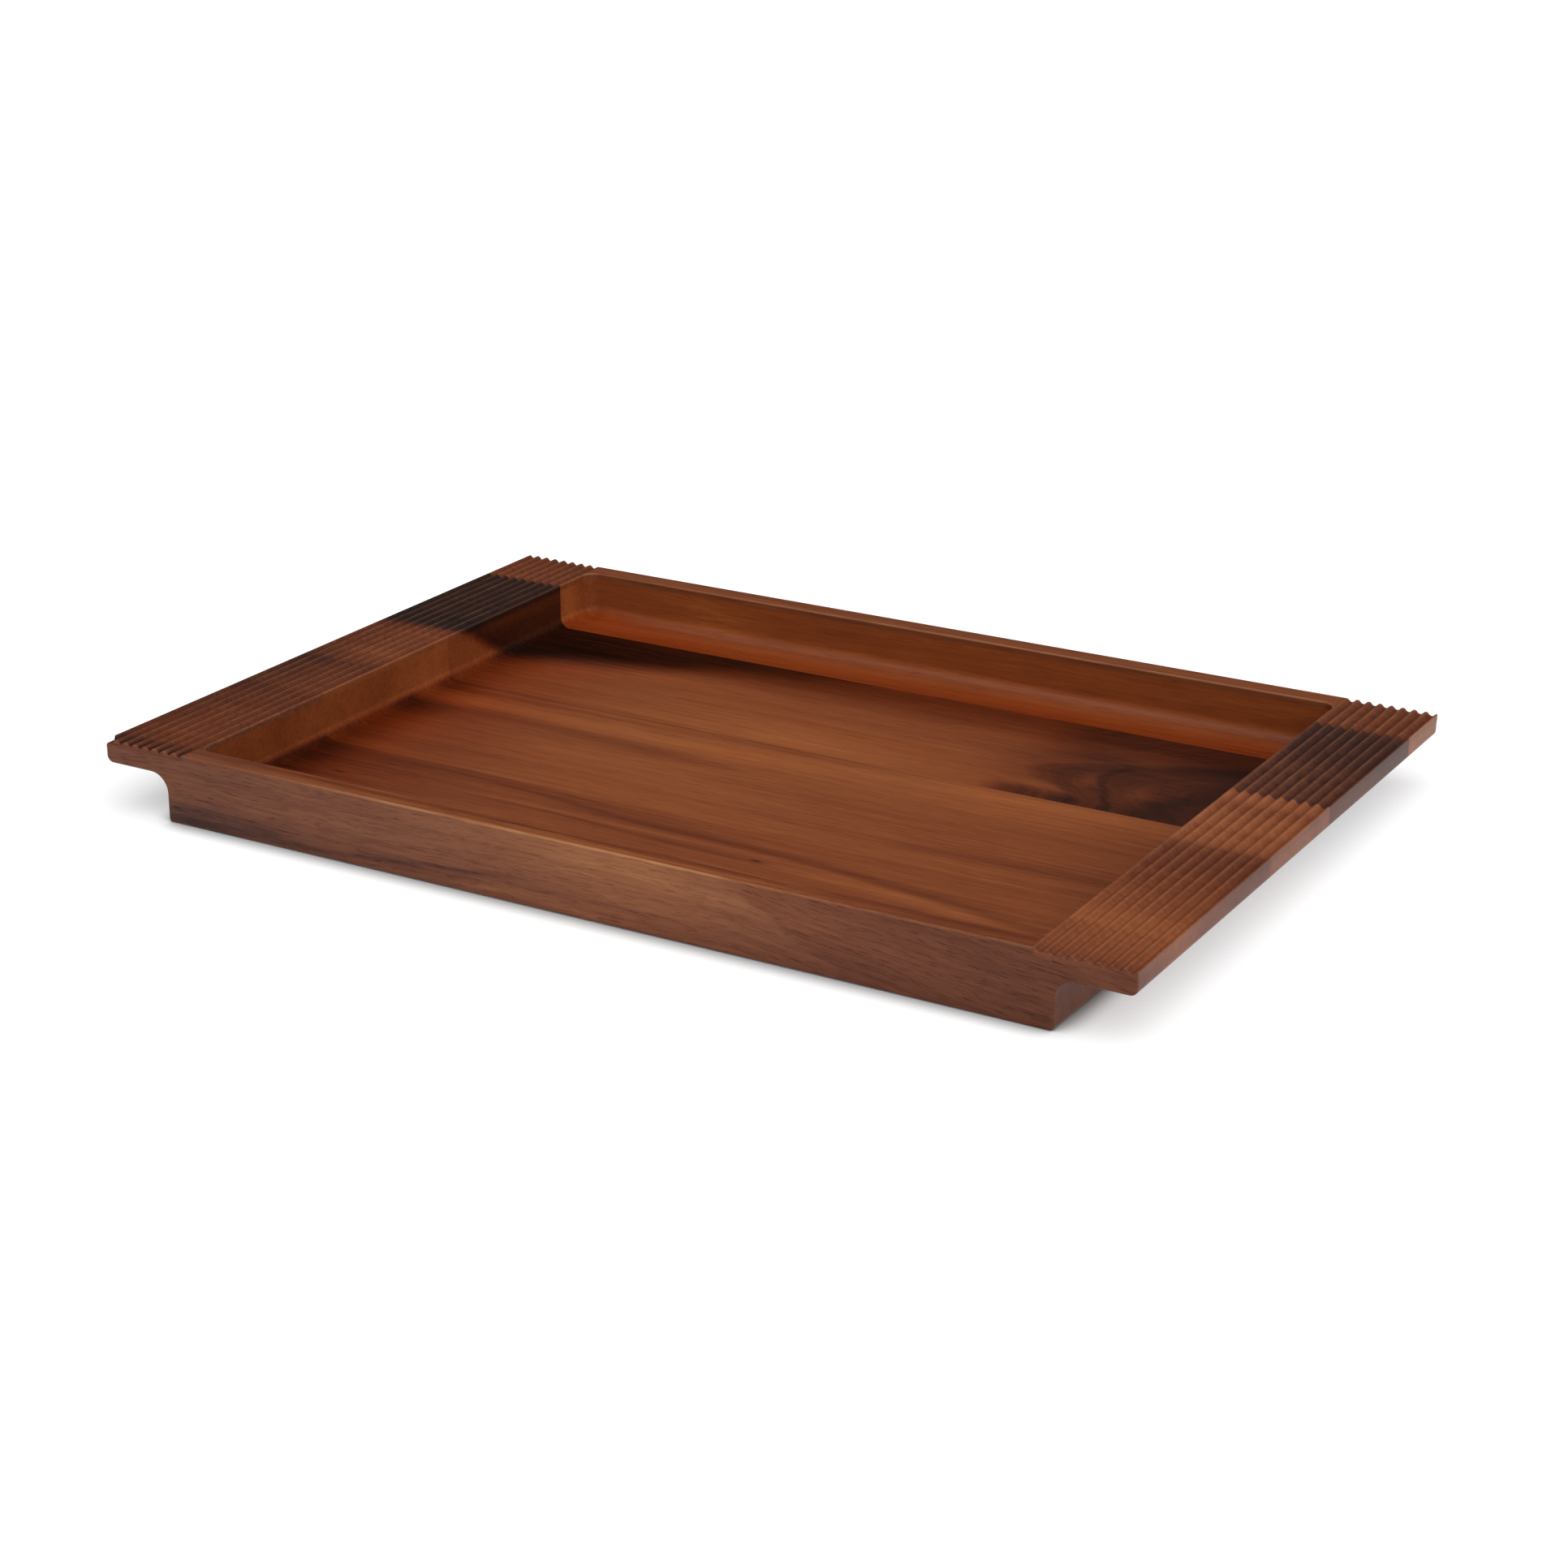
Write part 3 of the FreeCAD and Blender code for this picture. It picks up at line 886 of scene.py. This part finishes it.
def swirl(t):
    """How much darker the swirled figure at the right makes the floor; its grain runs along the main arm."""
    off = t.px - t.py.follow(SWIRL_EDGE)
    inner = off.ramp(-5.0, 9.0)
    grain = t.noise(3.2, 24, 3.0, 0.6, at=(off, t.py, t.z), salt=21, deep=30)
    before = t.x.ramp(292, 326) * t.py.ramp(190, 205)
    arm = off.bell(5.0) * t.py.ramp(262, 244)
    second = (t.px - t.py.follow(SECOND_ARM)).bell(2.6) * t.py.ramp(240, 222)
    third = (t.px - t.py.follow(THIRD_ARM)).bell(7.0)
    eye = t.spot(343, 209, 5, 10) * 0.15 + t.spot(367, 203, 7, 12) * 0.15 + t.spot(352, 196, 6, 6) * 0.05
    haze = t.py.ramp(194, 184) * t.x.ramp(300, 322)
    nook = t.spot(337, 236, 15, 8) * 0.15 + t.spot(300, 228, 22, 12) * 0.05 + t.spot(380, 250, 20, 6) * 0.04
    burl = (inner * 0.36).larger(before * 0.15).larger(haze * 0.36)
    burl = burl + arm * 0.14 + second * 0.10 + third * 0.10 + t.x.ramp(340, 400) * 0.06
    return burl - eye + nook + grain * 0.12 * t.x.ramp(300, 330)


def rear_centre_wood():
    t = Timber("rear_centre_wood", 3.0)
    tone = t.base_tone(0.64, band=0.05, fine=0.06)
    # Floor of the well: pale towards the middle of the stave, redder along the back glue line, and darker
    # along the left wall as painted shade
    pale = t.spot(215, 187, 75, 17) * 0.15 + t.spot(190, 205, 90, 22) * 0.05
    red = t.py.ramp(228, 262) * 0.24 + t.x.ramp(120, 60) * 0.04 + t.x.ramp(*LEFT_OF_FLOOR_X) * 0.18
    seam = t.streak(BACK_OF_GLUE_LINE, width=0.9, end=235, fade=40) * 0.10
    tone = tone + t.floor * (pale - red - seam)
    depth, heart = heartwood(t)
    t.red = t.red * (1.0 - heart * 0.5) + t.floor * t.y.ramp(235, 262) * (1.0 - heart) * 0.35
    # Left handle and wall
    tone = tone - t.left_end * (0.14 + t.x.ramp(28, 2) * 0.08) + t.wall * t.x.ramp(*LEFT_WALL_X) * 0.04
    tone = tone - t.floor * swirl(t)
    t.calm = t.floor * t.x.ramp(290, 330) * 0.5
    # Right handle
    mottle = t.noise(9, 3.5, 2.0, salt=22)
    tone = tone - t.right_end * (0.29 + t.py.ramp(208, 240) * 0.09 + mottle * 0.04)
    end_face = t.x.ramp(*RIGHT_END_FACE_X)
    tone = tone + end_face * 0.08
    grey = t.top * heart * 0.35 + t.right_end * 0.6 - end_face * 0.45 + t.floor * t.x.ramp(305, 340) * 0.2
    tone = tone * (1.0 - heart) + heart * heartwood_tone(t, depth) + t.fine * heart * 0.04
    return t.finish(tone, grey, 0.45, t.floor * (0.20 + heart * 0.6 + t.y.ramp(225, 262) * 0.55).limited())


# Path of the vein on the back face, as (x, z)
BACK_VEIN = ((0, 20), (150, 15), (280, 13), (457, 6))


def back_face_figure(t):
    """Coarser grain, darker towards the foot, with one long vein."""
    bark = t.noise(60, 1.8, 3.0, 0.65, salt=35) * 0.14 + t.noise(160, 5, 2.0, salt=36) * 0.16
    vein = (t.z - t.x.follow(BACK_VEIN)).bell(1.5) * t.x.ramp(40, 140)
    return bark - t.z.ramp(18, 1) * 0.08 - vein * t.x.ramp(400, 280) * 0.14


def back_rail_wood():
    t = Timber("back_rail_wood", 4.0)
    face = t.y.ramp(*BACK_FACE_Y)
    end_face = t.x.ramp(*RIGHT_END_FACE_X)
    tone = t.base_tone(0.62, band=0.07, fine=0.07)
    # Floor strip: bright along the foot of the wall, darker at the glue line
    tone = tone + t.floor * (t.y.ramp(272, 290) * 0.14 - 0.05 - t.x.ramp(340, 400) * 0.04)
    # Handles and their right-hand end face
    tone = tone - (1.0 - face) * (t.left_end * 0.16 + t.right_end * 0.12) + end_face * 0.30
    # Wall of the well
    tone = tone - t.wall * t.x.ramp(80, 44) * 0.05
    corner = t.x.ramp(*LEFT_WALL_X) * t.y.ramp(290, 278) * 0.12
    tone = tone + t.wall * (corner + (t.x - 110).bell(20.0) * 0.04 + 0.16)
    # Painted light: the wall is paler where it turns into its foot rounding
    tone = tone + t.z.ramp(14, 11) * t.wall * 0.07
    tone = tone + t.wall * t.noise(45, 14, 2.0, salt=34) * 0.10
    t.red = t.red * (1.0 - t.wall) + t.floor * t.y.ramp(290, 282, 0.35, 0.80) + t.wall * 0.50
    # Rim
    tone = tone + t.top * (1.0 - t.left_end - t.right_end) * t.noise(90, 1.5, 2.0, salt=31) * 0.12
    tone = tone + face * back_face_figure(t)
    grey = t.top * 0.15 + end_face * 0.3 + face * 0.4
    return t.finish(tone, grey, 0.45 + face * 0.5, t.floor * t.y.ramp(290, 276, 0.3, 0.95))


def finish_piece(obj, stave, material):
    """Gives a piece its wood and makes it stand for its stave of the CAD."""
    obj.data.materials.append(material)
    normals = obj.modifiers.new("normals", "WEIGHTED_NORMAL")
    normals.keep_sharp = True
    normals.weight = 100
    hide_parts(stave)
    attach(obj, "root")


def add_tray():
    first, second, third = GLUE_LINES
    pieces = (
        ("front_rail_stave", rail_stave("front_rail", -HALF_WIDTH, first, True), front_rail_wood),
        ("front_centre_stave", centre_stave("front_centre", first, second), front_centre_wood),
        ("rear_centre_stave", centre_stave("rear_centre", second, third), rear_centre_wood),
        ("back_rail_stave", rail_stave("back_rail", HALF_WIDTH, third, False), back_rail_wood),
    )
    for stave, obj, wood in pieces:
        finish_piece(obj, stave, wood())


# White table, in metres: it lies a hair below the tray, so that the two never coincide
TABLE_HALF_SIZE = 12.0
TABLE_Z = -0.01 * MM
TABLE_TOUCH = 0.05 * MM
CONTACT_REACH = 14 * MM
CONTACT_SAMPLES = 16
TABLE_GLOW = 0.46
TABLE_SHADED = 0.34
TABLE_LIT = 0.46

# Light: a dome that fades from overhead to low, and the direction in which it is brightest
OVERHEAD_LIGHT = 2.7
LOW_LIGHT = 0.045
BELOW_LIGHT = 0.9
LIGHT_TO_RIGHT = 0.42
LIGHT_TO_FRONT = 0.30

# Camera, in metres and degrees
LENS = 72.467
CAMERA_PLACE = (0.6127, -1.05913, 0.46629)
CAMERA_TARGET = (0.01536, -0.02334, 0.015)
CAMERA_ROLL = 0.178


def light_path(tree, output):
    """What is known about the ray of light that reaches a surface."""
    return Value(tree, tree.nodes.new("ShaderNodeLightPath").outputs[output])


def table_material():
    material = bpy.data.materials.new("table_white")
    material.use_nodes = True
    tree = material.node_tree
    shader = tree.nodes["Principled BSDF"]
    shader.inputs["Roughness"].default_value = 0.9
    shader.inputs["Specular IOR Level"].default_value = 0.0
    shader.inputs["Emission Color"].default_value = (1.0, 1.0, 1.0, 1.0)
    # Painted contact shadow: ambient occlusion takes away the white table's glow, and darkens its colour,
    # where the wood stands on it
    contact = tree.nodes.new("ShaderNodeAmbientOcclusion")
    contact.inputs["Distance"].default_value = CONTACT_REACH
    contact.samples = CONTACT_SAMPLES
    open_sky = Value(tree, contact.outputs["AO"]).ramp(0.42, 0.96)
    # The wood itself is lit by nearly the whole table: the darkening is mostly for the eye
    seen = light_path(tree, "Is Camera Ray")
    glow = open_sky + (1.0 - open_sky) * (1.0 - seen) * 0.6
    tree.links.new((glow * TABLE_GLOW).socket, shader.inputs["Emission Strength"])
    white = tree.nodes.new("ShaderNodeCombineColor")
    for slot in white.inputs[:3]:
        tree.links.new((open_sky * (TABLE_LIT - TABLE_SHADED) + TABLE_SHADED).socket, slot)
    tree.links.new(white.outputs[0], shader.inputs["Base Color"])
    # From underneath the table is clear, so that the underside of the tray can be looked at
    below = Value(tree, tree.nodes.new("ShaderNodeNewGeometry").outputs["Backfacing"])
    touching = light_path(tree, "Ray Length").math("LESS_THAN", TABLE_TOUCH)
    mix = tree.nodes.new("ShaderNodeMixShader")
    tree.links.new(below.larger(touching).socket, mix.inputs[0])
    tree.links.new(shader.outputs[0], mix.inputs[1])
    tree.links.new(tree.nodes.new("ShaderNodeBsdfTransparent").outputs[0], mix.inputs[2])
    tree.links.new(mix.outputs[0], tree.nodes["Material Output"].inputs["Surface"])
    return material


def add_table():
    s = TABLE_HALF_SIZE
    mesh = bpy.data.meshes.new("floor")
    corners = [(x, y, TABLE_Z) for x, y in ((-s, -s), (s, -s), (s, s), (-s, s))]
    mesh.from_pydata(corners, [], [(0, 1, 2, 3)])
    table = bpy.data.objects.new("floor", mesh)
    bpy.context.scene.collection.objects.link(table)
    table.data.materials.append(table_material())


def add_light():
    """A soft dome of light: bright overhead and towards the viewer, dim towards the back left."""
    world = bpy.data.worlds.new("studio")
    world.use_nodes = True
    tree = world.node_tree
    split = tree.nodes.new("ShaderNodeSeparateXYZ")
    place = tree.nodes.new("ShaderNodeTexCoord")
    tree.links.new(place.outputs["Generated"], split.inputs[0])
    right, back, up = (Value(tree, out) for out in split.outputs)
    lit = up - back * LIGHT_TO_FRONT + right * LIGHT_TO_RIGHT
    strength = lit.ramp(0.38, 0.96, LOW_LIGHT, OVERHEAD_LIGHT) + up.ramp(-0.01, -0.05) * BELOW_LIGHT
    # The backdrop itself is white
    seen = light_path(tree, "Is Camera Ray")
    strength = strength * (1.0 - seen) + seen
    background = tree.nodes["Background"]
    background.inputs["Color"].default_value = (1.0, 1.0, 1.0, 1.0)
    tree.links.new(strength.socket, background.inputs["Strength"])
    bpy.context.scene.world = world


def add_camera():
    data = bpy.data.cameras.new("camera")
    data.lens = LENS
    data.sensor_width = 36.0
    camera = bpy.data.objects.new("camera", data)
    location = Vector(CAMERA_PLACE)
    aim = (Vector(CAMERA_TARGET) - location).to_track_quat("-Z", "Y")
    camera.rotation_mode = "QUATERNION"
    camera.rotation_quaternion = aim @ Quaternion((0, 0, 1), math.radians(CAMERA_ROLL))
    camera.location = location
    bpy.context.scene.collection.objects.link(camera)
    bpy.context.scene.camera = camera


add_tray()
add_table()
add_light()
add_camera()
bpy.context.scene.view_settings.view_transform = "Standard"
